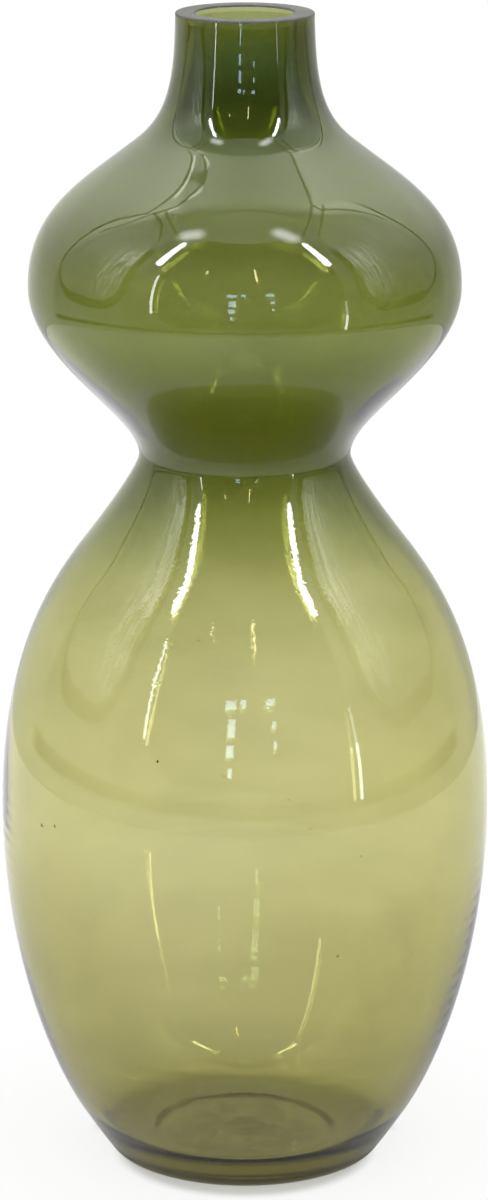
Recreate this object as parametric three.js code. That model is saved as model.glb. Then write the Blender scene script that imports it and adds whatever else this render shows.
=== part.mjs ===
// A blown glass vase of double-gourd form: a narrow neck with a flat ground rim, a round upper
// bulb, a tight waist and a full lower body on a foot ring round a shallow punt.
// Two bodies of glass make it: the olive vessel, and a green overlay cased round its outside from
// the rim down over the waist, where it thins out on the shoulder of the lower body.
// Millimetres, +Z up. The vase stands on Z = 0 and its axis is the Z axis.

import * as THREE from 'three';

// Rises between the rings where the outside turns, stacked from the ground up to the rim.
const HEEL_RISE = 16.7;
const BELLY_RISE = 109.6;
const FLANK_RISE = 90.7;
const WAIST_RISE = 32.3;
const BULB_RISE = 58.2;
const SHOULDER_RISE = 49.7;
const NECK_RISE = 42.8;

// Outer radii of those rings.
const FOOT_RADIUS = 47;
const HEEL_RADIUS = 58.75;
const BELLY_RADIUS = 84.4;
const FLANK_RADIUS = 56.6;
const WAIST_RADIUS = 36.2;
const BULB_RADIUS = 73.3;
const SHOULDER_RADIUS = 36.3;
const RIM_RADIUS = 23.3;

// Slopes of the outside at the rings where it is not upright, in degrees below level.
const SHOULDER_SLOPE = 38.7;
const FLANK_SLOPE = 52.7;
const HEEL_SLOPE = 57.5;

// Fullness of each stretch: how far it holds the direction of its upper and lower ring, as a
// share of its rise.
const NECK_TOP_PULL = 0.556;
const NECK_LOW_PULL = 0.301;
const SHOULDER_TOP_PULL = 0.475;
const SHOULDER_LOW_PULL = 0.52;
const BULB_TOP_PULL = 0.427;
const BULB_LOW_PULL = 0.261;
const WAIST_TOP_PULL = 0.163;
const WAIST_LOW_PULL = 0.325;
const FLANK_TOP_PULL = 0.232;
const FLANK_LOW_PULL = 0.531;
const BELLY_TOP_PULL = 0.508;
const BELLY_LOW_PULL = 0.16;
const HEEL_PULL = 0.55;

// Thickness of the whole wall at the rings, thinnest where the glass was blown widest.
const RIM_WALL = 6.6;
const SHOULDER_WALL = 4.4;
const BULB_WALL = 3.2;
const WAIST_WALL = 4.6;
const FLANK_WALL = 3.4;
const BELLY_WALL = 2.8;
const HEEL_WALL = 3.6;
const RIM_BEVEL = 0.7;

// The bottom: inside floor, and the punt within the foot ring underneath.
const FLOOR_HEIGHT = 3.2;
const FLOOR_RADIUS = 30;
const FLOOR_CROWN = 0.3;
const FLOOR_PULL = 11;
const PUNT_RADIUS = 34.5;
const PUNT_SIDE = 6.5;
const PUNT_RISE = 0.9;
const PUNT_CROWN = 0.4;

// Thickness of the green overlay at the rings it passes, and the share of the flank it covers.
const OVERLAY_RIM = 1.2;
const OVERLAY_SHOULDER = 2.6;
const OVERLAY_BULB = 1.2;
const OVERLAY_WAIST = 2.1;
const OVERLAY_FLANK = 0.8;
const OVERLAY_EDGE = 0.4;
const OVERLAY_REACH = 0.32;
const LAYER_GAP = 0.3;

// Steps round the axis and across the small curves of the bottom. Along a stretch there is one
// step for each so many degrees that it turns.
const ROUND_STEPS = 40;
const SMALL_STEPS = 4;
const LEAST_STEPS = 6;
const STEP_TURN = 8;

// Heights of the rings.
const heelHeight = HEEL_RISE;
const bellyHeight = heelHeight + BELLY_RISE;
const flankHeight = bellyHeight + FLANK_RISE;
const waistHeight = flankHeight + WAIST_RISE;
const bulbHeight = waistHeight + BULB_RISE;
const shoulderHeight = bulbHeight + SHOULDER_RISE;
const rimHeight = shoulderHeight + NECK_RISE;

// Directions of travel down the outside.
const UPRIGHT = new THREE.Vector2(0, -1);

function widening(slope) {
  const angle = THREE.MathUtils.degToRad(slope);
  return new THREE.Vector2(Math.cos(angle), -Math.sin(angle));
}

function narrowing(slope) {
  const angle = THREE.MathUtils.degToRad(slope);
  return new THREE.Vector2(-Math.cos(angle), -Math.sin(angle));
}

function ring(radius, height, direction, wall, overlay) {
  return { at: new THREE.Vector2(radius, height), direction, wall, overlay };
}

const rim = ring(RIM_RADIUS, rimHeight, UPRIGHT, RIM_WALL, OVERLAY_RIM);
const shoulder = ring(
  SHOULDER_RADIUS, shoulderHeight, widening(SHOULDER_SLOPE), SHOULDER_WALL, OVERLAY_SHOULDER);
const bulb = ring(BULB_RADIUS, bulbHeight, UPRIGHT, BULB_WALL, OVERLAY_BULB);
const waist = ring(WAIST_RADIUS, waistHeight, UPRIGHT, WAIST_WALL, OVERLAY_WAIST);
const flank = ring(FLANK_RADIUS, flankHeight, widening(FLANK_SLOPE), FLANK_WALL, OVERLAY_FLANK);
const belly = ring(BELLY_RADIUS, bellyHeight, UPRIGHT, BELLY_WALL, 0);
const heel = ring(HEEL_RADIUS, heelHeight, narrowing(HEEL_SLOPE), HEEL_WALL, 0);

// How far a curve turns from end to end, in degrees, whichever way it bends.
function turning(curve) {
  let sum = 0;
  let before = curve.getTangent(0).angle();
  for (let share = 0.05; share <= 1; share += 0.05) {
    const angle = curve.getTangent(share).angle();
    sum += Math.abs(angle - before);
    before = angle;
  }
  return THREE.MathUtils.radToDeg(sum);
}

// A smooth stretch of the outside from one ring down to the next.
function stretch(from, to, topPull, lowPull) {
  const rise = from.at.y - to.at.y;
  const curve = new THREE.CubicBezierCurve(
    from.at,
    from.at.clone().addScaledVector(from.direction, topPull * rise),
    to.at.clone().addScaledVector(to.direction, -lowPull * rise),
    to.at,
  );
  const steps = Math.max(LEAST_STEPS, Math.ceil(turning(curve) / STEP_TURN));
  return { curve, from, to, steps };
}

const flankStretch = stretch(flank, belly, FLANK_TOP_PULL, FLANK_LOW_PULL);
const casedStretches = [
  stretch(rim, shoulder, NECK_TOP_PULL, NECK_LOW_PULL),
  stretch(shoulder, bulb, SHOULDER_TOP_PULL, SHOULDER_LOW_PULL),
  stretch(bulb, waist, BULB_TOP_PULL, BULB_LOW_PULL),
  stretch(waist, flank, WAIST_TOP_PULL, WAIST_LOW_PULL),
];
const bellyStretch = stretch(belly, heel, BELLY_TOP_PULL, BELLY_LOW_PULL);

// A thickness that passes smoothly from one ring to the next.
function between(start, end, share) {
  return THREE.MathUtils.lerp(start, end, THREE.MathUtils.smoothstep(share, 0, 1));
}

// The point a given depth under the outside, measured square to it.
function under(curve, share, depth) {
  const along = curve.getTangent(share);
  const outward = new THREE.Vector2(-along.y, along.x);
  return curve.getPoint(share).addScaledVector(outward, -depth);
}

// Points under a run of one stretch, the depth given as a function of the share along it.
function run(curve, first, last, steps, depthAt) {
  const points = [];
  for (let i = 0; i <= steps; i += 1) {
    const share = THREE.MathUtils.lerp(first, last, i / steps);
    points.push(under(curve, share, depthAt(share)));
  }
  return points;
}

// Joins runs end to end and drops the point that each shares with the one before it.
function join(...runs) {
  const points = [];
  for (const point of runs.flat()) {
    if (points.length === 0 || points.at(-1).distanceTo(point) > 1e-6) {
      points.push(point);
    }
  }
  return points;
}

const surface = () => 0;
const coveredSteps = Math.ceil(flankStretch.steps * OVERLAY_REACH);
const openSteps = Math.ceil(flankStretch.steps * (1 - OVERLAY_REACH));

function overlayDepth({ from, to }) {
  return (share) => between(from.overlay, to.overlay, share);
}

function flankOverlayDepth(share) {
  return THREE.MathUtils.lerp(OVERLAY_FLANK, OVERLAY_EDGE, share / OVERLAY_REACH);
}

function wallDepth({ from, to }) {
  return (share) => between(from.wall, to.wall, share);
}

// Every cased stretch and the covered part of the flank, at one depth rule, from the rim down.
function casedRun(extra) {
  const whole = casedStretches.flatMap((part) => {
    const depthAt = overlayDepth(part);
    return run(part.curve, 0, 1, part.steps, (share) => extra(depthAt(share)));
  });
  const covered = run(
    flankStretch.curve, 0, OVERLAY_REACH, coveredSteps, (share) => extra(flankOverlayDepth(share)));
  return join(whole, covered);
}

// The green overlay: its outside is the vase's own outside and its inside lies on the vessel.
function overlayProfile() {
  const outside = casedRun(surface).slice(1).reverse();
  const inside = casedRun((depth) => depth);
  const bevel = [
    new THREE.Vector2(RIM_RADIUS, rimHeight - RIM_BEVEL),
    new THREE.Vector2(RIM_RADIUS - RIM_BEVEL, rimHeight),
  ];
  return join(outside, bevel, inside, [outside[0].clone()]);
}

// The seat of the overlay on the vessel, ending in a small ledge under the overlay's lower edge.
function seatRun() {
  const ledge = OVERLAY_REACH + LAYER_GAP / flankStretch.curve.getLength();
  const ledgeFoot = under(flankStretch.curve, ledge, OVERLAY_EDGE + LAYER_GAP);
  const open = run(flankStretch.curve, ledge, 1, openSteps, surface);
  return join(casedRun((depth) => depth + LAYER_GAP), [ledgeFoot], open);
}

// The foot: heel rounding, flat ring and punt, from the heel in to the axis.
function footRun() {
  const drop = heelHeight / Math.sin(THREE.MathUtils.degToRad(HEEL_SLOPE));
  const corner = heel.at.clone().addScaledVector(heel.direction, drop);
  const edge = new THREE.Vector2(FOOT_RADIUS, 0);
  const rounding = new THREE.CubicBezierCurve(
    heel.at,
    heel.at.clone().lerp(corner, HEEL_PULL),
    edge.clone().lerp(corner, HEEL_PULL),
    edge,
  );
  const side = new THREE.CubicBezierCurve(
    new THREE.Vector2(PUNT_RADIUS, 0),
    new THREE.Vector2(PUNT_RADIUS - PUNT_SIDE / 2, 0),
    new THREE.Vector2(PUNT_RADIUS - PUNT_SIDE / 2, PUNT_RISE),
    new THREE.Vector2(PUNT_RADIUS - PUNT_SIDE, PUNT_RISE),
  );
  const crown = new THREE.QuadraticBezierCurve(
    new THREE.Vector2(PUNT_RADIUS - PUNT_SIDE, PUNT_RISE),
    new THREE.Vector2((PUNT_RADIUS - PUNT_SIDE) / 2, PUNT_RISE + PUNT_CROWN),
    new THREE.Vector2(0, PUNT_RISE + PUNT_CROWN),
  );
  return join(
    rounding.getPoints(SMALL_STEPS), side.getPoints(SMALL_STEPS), crown.getPoints(SMALL_STEPS));
}

// The inside, from the rim down the wall and across the floor to the axis.
function insideRun() {
  const walls = [...casedStretches, flankStretch, bellyStretch].flatMap((part) =>
    run(part.curve, 0, 1, part.steps, wallDepth(part)));
  const wallFoot = walls.at(-1);
  const floorEdge = new THREE.Vector2(FLOOR_RADIUS, FLOOR_HEIGHT);
  const cove = new THREE.CubicBezierCurve(
    wallFoot,
    wallFoot.clone().addScaledVector(heel.direction, FLOOR_PULL),
    floorEdge.clone().add(new THREE.Vector2(FLOOR_PULL, 0)),
    floorEdge,
  );
  const floor = new THREE.QuadraticBezierCurve(
    floorEdge,
    new THREE.Vector2(FLOOR_RADIUS / 2, FLOOR_HEIGHT + FLOOR_CROWN / 2),
    new THREE.Vector2(0, FLOOR_HEIGHT + FLOOR_CROWN),
  );
  const bevel = [
    new THREE.Vector2(RIM_RADIUS - RIM_WALL + RIM_BEVEL, rimHeight),
    new THREE.Vector2(RIM_RADIUS - RIM_WALL, rimHeight - RIM_BEVEL),
  ];
  return join(
    bevel, walls.slice(1), cove.getPoints(LEAST_STEPS), floor.getPoints(SMALL_STEPS));
}

// The olive vessel: punt, foot, outside with the overlay's seat, rim, inside and floor.
function vesselProfile() {
  const belowSeat = run(bellyStretch.curve, 0, 1, bellyStretch.steps, surface);
  const outside = join(seatRun(), belowSeat, footRun());
  return join(outside.reverse(), insideRun());
}

// A body of revolution about Z from a profile of radius and height.
function turned(name, profile, colour, roughness) {
  const geometry = new THREE.LatheGeometry(profile, ROUND_STEPS);
  geometry.rotateX(Math.PI / 2);
  const material = new THREE.MeshStandardMaterial({ color: colour, roughness, metalness: 0 });
  const mesh = new THREE.Mesh(geometry, material);
  mesh.name = name;
  return mesh;
}

const vase = new THREE.Group();
vase.add(turned('olive_vessel', vesselProfile(), 0xc1bf81, 0.05));
vase.add(turned('green_overlay', overlayProfile(), 0x6d7333, 0.05));

export default vase;
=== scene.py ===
"""Looks of a tall blown glass vase of double-gourd form.

The glass is one closed wall: an olive vessel with a green overlay cased round its upper part.
Metres, +Z up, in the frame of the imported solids. The vase stands on Z = 0 about the Z axis.
"""

import logging
import math
from collections.abc import Mapping, Sequence
from dataclasses import dataclass
from enum import Enum

import bpy
import numpy as np
from mathutils import Euler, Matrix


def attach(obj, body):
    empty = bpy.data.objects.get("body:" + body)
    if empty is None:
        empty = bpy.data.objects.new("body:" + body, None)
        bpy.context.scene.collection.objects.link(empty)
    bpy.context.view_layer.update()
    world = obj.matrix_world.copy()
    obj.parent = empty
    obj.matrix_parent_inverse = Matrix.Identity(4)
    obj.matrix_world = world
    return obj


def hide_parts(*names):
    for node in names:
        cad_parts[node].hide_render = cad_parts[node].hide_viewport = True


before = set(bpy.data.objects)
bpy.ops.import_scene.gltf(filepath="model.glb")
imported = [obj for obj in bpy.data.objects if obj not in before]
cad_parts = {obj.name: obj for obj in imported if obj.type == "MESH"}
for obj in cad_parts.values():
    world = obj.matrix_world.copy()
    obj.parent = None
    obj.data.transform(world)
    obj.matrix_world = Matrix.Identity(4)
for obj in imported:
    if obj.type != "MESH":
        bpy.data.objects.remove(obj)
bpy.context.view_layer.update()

log = logging.getLogger("glass_vase")

Colour = tuple[float, float, float]
Point = tuple[float, float]
Triple = tuple[float, float, float]
Face = tuple[int, ...]
Socket = bpy.types.NodeSocket

WHITE: Colour = (1.0, 1.0, 1.0)
# A ray's depth above this means that it has bounced at least once.
BOUNCED: float = 0.5


class Value:
    """A number that a node works out, for use in Python expressions."""

    def __init__(self, graph: "Graph", socket: Socket) -> None:
        """Wraps an output socket of a graph."""
        self.graph = graph
        self.socket = socket

    def __add__(self, other: "Value | float") -> "Value":
        """This plus another."""
        return self.graph.math("ADD", self, other)

    def __radd__(self, other: float) -> "Value":
        """A number plus this."""
        return self.graph.math("ADD", other, self)

    def __sub__(self, other: "Value | float") -> "Value":
        """This less another."""
        return self.graph.math("SUBTRACT", self, other)

    def __rsub__(self, other: float) -> "Value":
        """A number less this."""
        return self.graph.math("SUBTRACT", other, self)

    def __mul__(self, other: "Value | float") -> "Value":
        """This times another."""
        return self.graph.math("MULTIPLY", self, other)

    def __rmul__(self, other: float) -> "Value":
        """A number times this."""
        return self.graph.math("MULTIPLY", other, self)

    def __truediv__(self, other: "Value | float") -> "Value":
        """This over another."""
        return self.graph.math("DIVIDE", self, other)

    def __rtruediv__(self, other: float) -> "Value":
        """A number over this."""
        return self.graph.math("DIVIDE", other, self)

    def __pow__(self, other: float) -> "Value":
        """This to a power."""
        return self.graph.math("POWER", self, other)

    def __rpow__(self, other: float) -> "Value":
        """A number to the power of this."""
        return self.graph.math("POWER", other, self)

    def __neg__(self) -> "Value":
        """This with its sign turned."""
        return self.graph.math("MULTIPLY", self, -1.0)

    def __abs__(self) -> "Value":
        """The size of this without its sign."""
        return self.graph.math("ABSOLUTE", self)

    def __gt__(self, other: "Value | float") -> "Value":
        """1 where this is above another, else 0."""
        return self.graph.math("GREATER_THAN", self, other)

    def most(self, other: "Value | float") -> "Value":
        """The larger of this and another."""
        return self.graph.math("MAXIMUM", self, other)

    def least(self, other: "Value | float") -> "Value":
        """The smaller of this and another."""
        return self.graph.math("MINIMUM", self, other)


Fill = Value | Socket | float | int | str | Sequence[float]


class Graph:
    """Builds the node tree of one material or world."""

    def __init__(self, tree: bpy.types.NodeTree) -> None:
        """Takes a tree and empties it."""
        self.tree = tree
        tree.nodes.clear()

    def node(
        self,
        kind: str,
        settings: Mapping[str, object] | None = None,
        inputs: Mapping[str | int, Fill] | None = None,
    ) -> bpy.types.Node:
        """Adds a node.

        Args:
            kind: The node's type.
            settings: The node's own options, set first; "stops" are a ramp's places and colours.
            inputs: Values or links of its sockets, by name or number.

        Returns:
            The node.
        """
        node = self.tree.nodes.new(kind)
        for name, setting in (settings or {}).items():
            if name == "stops":
                self._set_stops(node.color_ramp, setting)
            else:
                setattr(node, name, setting)
        for name, fill in (inputs or {}).items():
            socket = node.inputs[name]
            if isinstance(fill, Value):
                self.tree.links.new(fill.socket, socket)
            elif isinstance(fill, Socket):
                self.tree.links.new(fill, socket)
            else:
                socket.default_value = fill
        return node

    def _set_stops(self, ramp: bpy.types.ColorRamp, stops: Sequence[tuple[float, Colour]]) -> None:
        """Gives a ramp its stops.

        Args:
            ramp: The ramp of a node.
            stops: Places from 0 to 1, each with its colour.
        """
        while len(ramp.elements) < len(stops):
            ramp.elements.new(1.0)
        for element, (place, colour) in zip(ramp.elements, stops):
            element.position = place
            element.color = opaque(colour)

    def math(self, operation: str, *values: Value | float) -> Value:
        """Adds a Math node on the given values."""
        node = self.node("ShaderNodeMath", {"operation": operation}, dict(enumerate(values)))
        return Value(self, node.outputs[0])

    def axes(self, vector: Socket) -> tuple[Value, Value, Value]:
        """The three parts of a vector."""
        node = self.node("ShaderNodeSeparateXYZ", inputs={"Vector": vector})
        return tuple(Value(self, socket) for socket in node.outputs)

    def vector(self, x: Fill, y: Fill, z: Fill) -> Socket:
        """A vector of three parts."""
        return self.node("ShaderNodeCombineXYZ", inputs={"X": x, "Y": y, "Z": z}).outputs["Vector"]

    def grey(self, level: Value) -> Socket:
        """A colour of one level all through."""
        return self.vector(level, level, level)

    def object_place(self) -> Socket:
        """The place on the piece, in metres."""
        return self.node("ShaderNodeTexCoord").outputs["Object"]

    def mixed(self, share: Value | float, first: Fill, second: Fill, blend: str = "MIX") -> Socket:
        """Adds a colour mix.

        Args:
            share: How much of the second colour shows.
            first: The first colour.
            second: The second colour.
            blend: How the two are blended.

        Returns:
            The mixed colour.
        """
        settings = {"data_type": "RGBA", "blend_type": blend}
        return self.node("ShaderNodeMix", settings, {0: share, 6: first, 7: second}).outputs[2]

    def bump(self, height: Value, distance: float, strength: float = 1.0) -> Socket:
        """The normal of a surface raised by a distance for each 1 of a height."""
        inputs = {"Strength": strength, "Distance": distance, "Height": height}
        return self.node("ShaderNodeBump", inputs=inputs).outputs["Normal"]

    def output(self, kind: str, **inputs: Fill) -> None:
        """Ends the tree with an output node."""
        self.node(kind, inputs=inputs)

    def end_with_glass(self, surface: Mapping[str, Fill], colour: Colour, density: float) -> None:
        """Ends the tree with clear glass that takes up light on its way through.

        Args:
            surface: The sockets of its surface, apart from being clear.
            colour: The colour that light takes on inside.
            density: How soon it does.
        """
        shader = self.node(
            "ShaderNodeBsdfPrincipled", inputs={"Transmission Weight": 1.0, **surface}
        )
        absorption = self.node(
            "ShaderNodeVolumeAbsorption", inputs={"Color": opaque(colour), "Density": density}
        )
        self.output(
            "ShaderNodeOutputMaterial", Surface=shader.outputs[0], Volume=absorption.outputs[0]
        )

    def end_with_solid(self, surface: Mapping[str, Fill]) -> None:
        """Ends the tree with a surface that lets no light through."""
        shader = self.node("ShaderNodeBsdfPrincipled", inputs=surface)
        self.output("ShaderNodeOutputMaterial", Surface=shader.outputs[0])


@dataclass(frozen=True)
class Fade:
    """A smooth step between two values."""

    start: float
    end: float

    def up(self, value: Value) -> Value:
        """0 before the step and 1 after it."""
        node = value.graph.node(
            "ShaderNodeMapRange",
            {"interpolation_type": "SMOOTHSTEP"},
            {"Value": value, "From Min": self.start, "From Max": self.end},
        )
        return Value(value.graph, node.outputs["Result"])

    def down(self, value: Value) -> Value:
        """1 before the step and 0 after it."""
        return 1 - self.up(value)


@dataclass(frozen=True)
class Cloud:
    """Soft noise about 0.5: its scale along each axis and its fine detail."""

    scale: Triple
    detail: float

    def over(self, graph: Graph, place: Socket) -> Value:
        """The noise at a place.

        Args:
            graph: The graph that it is for.
            place: The place.

        Returns:
            The noise there.
        """
        scaled = graph.node(
            "ShaderNodeVectorMath", {"operation": "MULTIPLY"}, {0: place, 1: self.scale}
        )
        noise = graph.node(
            "ShaderNodeTexNoise",
            inputs={"Vector": scaled.outputs["Vector"], "Scale": 1.0, "Detail": self.detail},
        )
        return Value(graph, noise.outputs[0])


def length(x: Value, y: Value) -> Value:
    """The length of a flat vector."""
    return (x * x + y * y) ** 0.5


def opaque(colour: Colour) -> tuple[float, float, float, float]:
    """A colour with full cover."""
    return (*colour, 1.0)


def fresh_material(name: str) -> tuple[bpy.types.Material, Graph]:
    """A new node material and the graph to build it with.

    Args:
        name: Its name.

    Returns:
        The material and its graph.
    """
    material = bpy.data.materials.new(name)
    material.use_nodes = True
    return material, Graph(material.node_tree)


@dataclass(frozen=True)
class CasedGlass:
    """Clear olive glass all through, with the tint of the green overlay by height and painted shade
    at the foot.

    Depths of the relief are in millimetres.
    """

    name: str = "cased_glass"
    height: float = 0.400
    index: float = 1.5
    density: float = 264.0
    olive: Colour = (0.693, 0.670, 0.175)
    # The stops up to 0.06 m lie below the overlay: they darken the foot and are painted shade, not
    # overlay tint.
    overlay: tuple[tuple[float, Colour], ...] = (
        (0.000, (0.90, 0.90, 0.84)),
        (0.010, (0.89, 0.89, 0.835)),
        (0.022, (0.935, 0.93, 0.86)),
        (0.060, (0.98, 0.97, 0.87)),
        (0.110, (1.00, 1.00, 0.94)),
        (0.165, (1.00, 1.00, 0.96)),
        (0.190, (0.98, 0.99, 0.98)),
        (0.212, (0.955, 0.98, 1.00)),
        (0.230, (0.775, 0.815, 0.775)),
        (0.255, (0.63, 0.68, 0.64)),
        (0.285, (0.86, 0.92, 0.91)),
        (0.297, (0.84, 0.89, 0.87)),
        (0.315, (0.72, 0.75, 0.72)),
        (0.330, (0.62, 0.65, 0.57)),
        (0.345, (0.88, 0.97, 0.90)),
        (0.355, (0.78, 0.86, 0.80)),
        (0.373, (0.40, 0.475, 0.26)),
        (0.385, (0.54, 0.67, 0.98)),
        (0.400, (0.77, 0.85, 0.97)),
    )
    drift: Cloud = Cloud((9.0,) * 3, 2.0)
    drift_share: float = 0.03
    streaks: Cloud = Cloud((22.0, 22.0, 60.0), 4.0)
    streak_step: Fade = Fade(0.2, 0.8)
    streak_share: float = 0.09
    smears: Cloud = Cloud((16.0,) * 3, 5.0)
    smear_step: Fade = Fade(0.55, 0.85)
    smear_roughness: float = 0.02
    under_step: Fade = Fade(0.00198, 0.0022)
    punt_edge: Fade = Fade(0.0261, 0.029)
    mottle: Cloud = Cloud((170.0,) * 3, 4.0)
    mottle_step: Fade = Fade(0.38, 0.62)
    mottle_share: float = 0.55
    pontil_edge: Fade = Fade(0.0055, 0.0132)
    pontil_chips: Cloud = Cloud((160.0,) * 3, 3.0)
    pontil_wander: float = 0.0088
    pontil_face: Cloud = Cloud((420.0,) * 3, 3.0)
    pontil_depth: float = 0.15
    pontil_roughness: float = 0.3
    foot_radius: float = 0.0465
    worn_step: Fade = Fade(0.0022, 0.0055)
    worn_roughness: float = 0.45
    ring_spacing: float = 0.0052
    ring_drift: Cloud = Cloud((18.0,) * 3, 2.0)
    ring_wander: float = 9.0
    ring_start: Fade = Fade(0.012, 0.03)
    ring_end: Fade = Fade(0.10, 0.15)
    ring_depth: float = 0.006
    ripple: Cloud = Cloud((380.0, 380.0, 1000.0), 1.0)
    ripple_start: Fade = Fade(0.165, 0.19)
    ripple_end: Fade = Fade(0.235, 0.25)
    ripple_depth: float = 0.025
    relief_unit: float = 0.001

    def make(self) -> bpy.types.Material:
        """The glass as a material.

        Returns:
            The material.
        """
        material, graph = fresh_material(self.name)
        place = graph.object_place()
        x, y, z = graph.axes(place)
        radius = length(x, y)
        under = self.under_step.down(z)
        punt = self.punt_edge.down(radius) * under
        ragged = radius + (self.pontil_chips.over(graph, place) - 0.5) * self.pontil_wander
        pontil = self.pontil_edge.down(ragged) * under
        smears = self.smear_step.up(self.smears.over(graph, place))
        worn = self.worn_step.down(z) * (radius > self.foot_radius)
        roughness = self.smear_roughness * smears + self.worn_roughness * worn
        surface = {
            "Base Color": self._tint(graph, place, z, punt),
            "Roughness": roughness + self.pontil_roughness * pontil,
            "Normal": self._relief(graph, place, z, pontil),
            "IOR": self.index,
        }
        graph.end_with_glass(surface, self.olive, self.density)
        return material

    def _tint(self, graph: Graph, place: Socket, z: Value, punt: Value) -> Socket:
        """The overlay's tint by height, with painted shade darkening the foot, drawn a little
        unevenly round the wall and mottled below.

        Args:
            graph: The material's graph.
            place: The place on the piece.
            z: The height there.
            punt: 1 under the hollow of the foot, else 0.

        Returns:
            The colour that one pass through the wall takes from the overlay, and from the painted
            shade at the foot.
        """
        drift = (self.drift.over(graph, place) - 0.5) * self.drift_share
        stops = [(height / self.height, colour) for height, colour in self.overlay]
        ramp = graph.node("ShaderNodeValToRGB", {"stops": stops}, {"Fac": z / self.height + drift})
        streaks = graph.grey(self.streak_step.up(self.streaks.over(graph, place)))
        tint = graph.mixed(self.streak_share, ramp.outputs["Color"], streaks, "MULTIPLY")
        mottle = self.mottle_step.up(self.mottle.over(graph, place)) * punt
        return graph.mixed(1.0, tint, graph.grey(1 - self.mottle_share * mottle), "MULTIPLY")

    def _relief(self, graph: Graph, place: Socket, z: Value, pontil: Value) -> Socket:
        """Faint tooling rings, a fine ripple under the waist and the broken face of the pontil scar.

        Args:
            graph: The material's graph.
            place: The place on the piece.
            z: The height there.
            pontil: 1 on the scar, else 0.

        Returns:
            The normal.
        """
        wander = self.ring_drift.over(graph, place) * self.ring_wander
        rings = graph.math("SINE", z * (2 * math.pi / self.ring_spacing) + wander)
        rings = rings * self.ring_start.up(z) * self.ring_end.down(z)
        ripple = self.ripple.over(graph, place) * self.ripple_start.up(z) * self.ripple_end.down(z)
        scar = self.pontil_face.over(graph, place) * pontil
        height = rings * self.ring_depth + ripple * self.ripple_depth + scar * self.pontil_depth
        return graph.bump(height, self.relief_unit)


@dataclass(frozen=True)
class GreenGlass:
    """The body of the green overlay, of one index with the olive glass that it is fused to."""

    name: str = "green_glass"
    index: float = 1.0
    density: float = 520.0
    green: Colour = (0.59, 0.645, 0.20)
    bands: Cloud = Cloud((40.0, 40.0, 160.0), 3.0)
    band_step: Fade = Fade(0.3, 0.7)
    band_tint: Colour = (0.97, 0.98, 0.95)

    def make(self) -> bpy.types.Material:
        """The overlay as a material.

        Returns:
            The material.
        """
        material, graph = fresh_material(self.name)
        bands = self.band_step.up(self.bands.over(graph, graph.object_place()))
        tint = graph.mixed(bands, opaque(self.band_tint), opaque(WHITE))
        surface = {"Base Color": tint, "Roughness": 0.0, "IOR": self.index}
        graph.end_with_glass(surface, self.green, self.density)
        return material


@dataclass(frozen=True)
class GroundGlass:
    """The flat face of the rim, ground matte."""

    name: str = "ground_rim"
    colour: Colour = (0.124, 0.123, 0.117)
    scuffed: Colour = (0.096, 0.095, 0.091)
    patches: Cloud = Cloud((130.0,) * 3, 4.0)
    patch_step: Fade = Fade(0.35, 0.7)
    grit: Cloud = Cloud((900.0,) * 3, 3.0)
    grit_depth: float = 0.0002
    grit_strength: float = 0.35
    roughness: float = 0.5
    grit_roughness: float = 0.3
    index: float = 1.5

    def make(self) -> bpy.types.Material:
        """The ground face as a material.

        Returns:
            The material.
        """
        material, graph = fresh_material(self.name)
        place = graph.object_place()
        grit = self.grit.over(graph, place)
        patches = self.patch_step.up(self.patches.over(graph, place))
        surface = {
            "Base Color": graph.mixed(patches, opaque(self.colour), opaque(self.scuffed)),
            "Roughness": self.roughness + grit * self.grit_roughness,
            "Normal": graph.bump(grit, self.grit_depth, self.grit_strength),
            "IOR": self.index,
        }
        graph.end_with_solid(surface)
        return material


@dataclass(frozen=True)
class DarkGrain:
    """Dark grains that stayed unmelted in the glass."""

    name: str = "dark_grain"
    colour: Colour = (0.020, 0.018, 0.010)
    worn: Colour = (0.060, 0.050, 0.020)
    speckle: Cloud = Cloud((3000.0,) * 3, 2.0)
    roughness: float = 0.6
    speckle_roughness: float = 0.3

    def make(self) -> bpy.types.Material:
        """The grains as a material.

        Returns:
            The material.
        """
        material, graph = fresh_material(self.name)
        speckle = self.speckle.over(graph, graph.object_place())
        surface = {
            "Base Color": graph.mixed(speckle, opaque(self.colour), opaque(self.worn)),
            "Roughness": self.roughness + speckle * self.speckle_roughness,
        }
        graph.end_with_solid(surface)
        return material


class Finish(Enum):
    """The finishes of the wall, by their number on the piece."""

    CASED = 0
    GROUND = 1
    GRAIN = 2


class Zone(Enum):
    """Where a row of the wall lies."""

    UNDER = "under"
    OUTSIDE = "outside"
    RIM = "rim"
    INSIDE = "inside"
    FLOOR = "floor"


class Flaw(Enum):
    """What is caught in the glass."""

    SEED = "seed"
    GRAIN = "grain"


@dataclass(frozen=True)
class Inclusion:
    """A flaw in the wall, by its angle from the front in degrees and its height."""

    flaw: Flaw
    angle: float
    height: float
    size: float


@dataclass(frozen=True)
class Wave:
    """A slow unevenness of the wall: turns round it, turns up it, phase and depth."""

    around: int
    upward: float
    phase: float
    depth: float


@dataclass(frozen=True)
class Ring:
    """A ring where the outside turns: radius, height, slope, wall and overlay."""

    radius: float
    height: float
    slope: float
    wall: float
    overlay: float = 0.0

    @property
    def place(self) -> np.ndarray:
        """Radius and height."""
        return np.array((self.radius, self.height))

    @property
    def heading(self) -> np.ndarray:
        """The direction of travel down the outside; 90 degrees is upright."""
        angle = math.radians(self.slope)
        return np.array((math.cos(angle), -math.sin(angle)))


def smooth(share: np.ndarray) -> np.ndarray:
    """Shares from 0 to 1, eased at both ends."""
    return share * share * (3 - 2 * share)


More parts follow.
